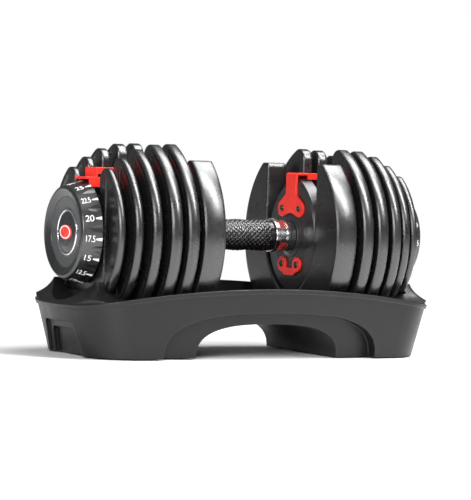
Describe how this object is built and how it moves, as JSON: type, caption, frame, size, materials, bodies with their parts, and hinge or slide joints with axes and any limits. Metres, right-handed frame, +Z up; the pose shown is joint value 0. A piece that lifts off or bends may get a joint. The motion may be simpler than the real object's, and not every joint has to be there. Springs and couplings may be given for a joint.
{
  "type": "adjustable dumbbell",
  "caption": "Adjustable dumbbell with dial-selected weight plates on a rubber-gripped handle, resting in a rounded base tray.",
  "frame": {"origin": "middle of the tray's footprint, on the floor", "axes": "+X along the handle towards the right-hand dial, +Y across it, +Z up"},
  "size_m": [0.4284, 0.209, 0.2211],
  "materials": {
    "tray_plastic": "satin",
    "rack_plastic": "matte",
    "rubber_feet": "matte",
    "zinc_steel": "satin",
    "black_steel": "satin",
    "grip_rubber": "matte",
    "bar_steel": "satin",
    "dial_plastic": "satin",
    "ring_silver": "satin",
    "trim_chrome": "polished",
    "cap_plastic": "satin",
    "flange_plastic": "satin",
    "red_steel": "satin",
    "pin_red": "satin",
    "spring_steel": "satin",
    "hub_plastic": "satin",
    "collar_chrome": "polished",
    "plate_black": "satin",
    "disc_plastic": "matte"
  },
  "bodies": {
    "base": {"tray": "tray_plastic", "tray_feet": "rubber_feet", "rack_screws": "zinc_steel", "left_rack": "rack_plastic", "right_rack": "rack_plastic"},
    "handle": {"grip": "grip_rubber", "handle_tube": "bar_steel", "tie_rod": "bar_steel", "tie_nuts": "zinc_steel", "bracket_screws": "black_steel", "left_flange": "flange_plastic", "left_bridge": "red_steel", "left_bracket": "red_steel", "left_hub": "hub_plastic", "left_collar": "collar_chrome", "left_lock_spring": "spring_steel", "right_flange": "flange_plastic", "right_bridge": "red_steel", "right_bracket": "red_steel", "right_hub": "hub_plastic", "right_collar": "collar_chrome", "right_lock_spring": "spring_steel"},
    "left_dial_group": {"left_shaft": "bar_steel", "left_dial": "dial_plastic", "left_dial_ring": "ring_silver", "left_dial_trim": "trim_chrome", "left_cap": "cap_plastic", "left_disc_1": "disc_plastic", "left_disc_2": "disc_plastic", "left_disc_3": "disc_plastic", "left_disc_4": "disc_plastic", "left_disc_5": "disc_plastic", "left_disc_6": "disc_plastic"},
    "left_lock": {"left_lock_pin": "pin_red"},
    "left_weight_1": {"left_plate_1": "plate_black"},
    "left_weight_2": {"left_plate_2": "plate_black"},
    "left_weight_3": {"left_plate_3": "plate_black"},
    "left_weight_4": {"left_plate_4": "plate_black"},
    "left_weight_5": {"left_plate_5": "plate_black"},
    "left_weight_6": {"left_plate_6": "plate_black"},
    "right_dial_group": {"right_shaft": "bar_steel", "right_dial": "dial_plastic", "right_dial_ring": "ring_silver", "right_dial_trim": "trim_chrome", "right_cap": "cap_plastic", "right_disc_1": "disc_plastic", "right_disc_2": "disc_plastic", "right_disc_3": "disc_plastic", "right_disc_4": "disc_plastic", "right_disc_5": "disc_plastic", "right_disc_6": "disc_plastic"},
    "right_lock": {"right_lock_pin": "pin_red"},
    "right_weight_1": {"right_plate_1": "plate_black"},
    "right_weight_2": {"right_plate_2": "plate_black"},
    "right_weight_3": {"right_plate_3": "plate_black"},
    "right_weight_4": {"right_plate_4": "plate_black"},
    "right_weight_5": {"right_plate_5": "plate_black"},
    "right_weight_6": {"right_plate_6": "plate_black"}
  },
  "joints": [
    {"name": "handle_lift", "type": "slide", "parent": "base", "child": "handle", "axis": [0, 0, 1], "range_m": [0, 0.3]},
    {"name": "left_dial_turn", "type": "hinge", "parent": "handle", "child": "left_dial_group", "pos_m": [0, 0, 0.127], "axis": [1, 0, 0], "range_deg": [-216, 120]},
    {"name": "left_lock_drop", "type": "slide", "parent": "handle", "child": "left_lock", "axis": [0, 0, -1], "range_m": [0, 0.0045], "deforming": ["left_lock_spring"]},
    {"name": "left_weight_1_stay", "type": "slide", "parent": "handle", "child": "left_weight_1", "axis": [0, 0, -1], "range_m": [0, 0.31]},
    {"name": "left_weight_2_stay", "type": "slide", "parent": "handle", "child": "left_weight_2", "axis": [0, 0, -1], "range_m": [0, 0.31]},
    {"name": "left_weight_3_stay", "type": "slide", "parent": "handle", "child": "left_weight_3", "axis": [0, 0, -1], "range_m": [0, 0.31]},
    {"name": "left_weight_4_stay", "type": "slide", "parent": "handle", "child": "left_weight_4", "axis": [0, 0, -1], "range_m": [0, 0.31]},
    {"name": "left_weight_5_lift", "type": "slide", "parent": "base", "child": "left_weight_5", "axis": [0, 0, 1], "range_m": [0, 0.31]},
    {"name": "left_weight_6_lift", "type": "slide", "parent": "base", "child": "left_weight_6", "axis": [0, 0, 1], "range_m": [0, 0.31]},
    {"name": "right_dial_turn", "type": "hinge", "parent": "handle", "child": "right_dial_group", "pos_m": [0, 0, 0.127], "axis": [1, 0, 0], "range_deg": [-216, 120]},
    {"name": "right_lock_drop", "type": "slide", "parent": "handle", "child": "right_lock", "axis": [0, 0, -1], "range_m": [0, 0.0045], "deforming": ["right_lock_spring"]},
    {"name": "right_weight_1_stay", "type": "slide", "parent": "handle", "child": "right_weight_1", "axis": [0, 0, -1], "range_m": [0, 0.31]},
    {"name": "right_weight_2_stay", "type": "slide", "parent": "handle", "child": "right_weight_2", "axis": [0, 0, -1], "range_m": [0, 0.31]},
    {"name": "right_weight_3_stay", "type": "slide", "parent": "handle", "child": "right_weight_3", "axis": [0, 0, -1], "range_m": [0, 0.31]},
    {"name": "right_weight_4_stay", "type": "slide", "parent": "handle", "child": "right_weight_4", "axis": [0, 0, -1], "range_m": [0, 0.31]},
    {"name": "right_weight_5_lift", "type": "slide", "parent": "base", "child": "right_weight_5", "axis": [0, 0, 1], "range_m": [0, 0.31]},
    {"name": "right_weight_6_lift", "type": "slide", "parent": "base", "child": "right_weight_6", "axis": [0, 0, 1], "range_m": [0, 0.31]}
  ],
  "couplings": [
    {"joint": "left_lock_drop", "follows": "handle_lift", "ratio": 0.014},
    {"joint": "left_weight_1_stay", "follows": "handle_lift", "ratio": 1},
    {"joint": "left_weight_2_stay", "follows": "handle_lift", "ratio": 1},
    {"joint": "left_weight_3_stay", "follows": "handle_lift", "ratio": 1},
    {"joint": "left_weight_4_stay", "follows": "handle_lift", "ratio": 1},
    {"joint": "left_weight_5_lift", "follows": "handle_lift", "ratio": 1},
    {"joint": "left_weight_6_lift", "follows": "handle_lift", "ratio": 1},
    {"joint": "right_lock_drop", "follows": "handle_lift", "ratio": 0.014},
    {"joint": "right_weight_1_stay", "follows": "handle_lift", "ratio": 1},
    {"joint": "right_weight_2_stay", "follows": "handle_lift", "ratio": 1},
    {"joint": "right_weight_3_stay", "follows": "handle_lift", "ratio": 1},
    {"joint": "right_weight_4_stay", "follows": "handle_lift", "ratio": 1},
    {"joint": "right_weight_5_lift", "follows": "handle_lift", "ratio": 1},
    {"joint": "right_weight_6_lift", "follows": "handle_lift", "ratio": 1}
  ]
}
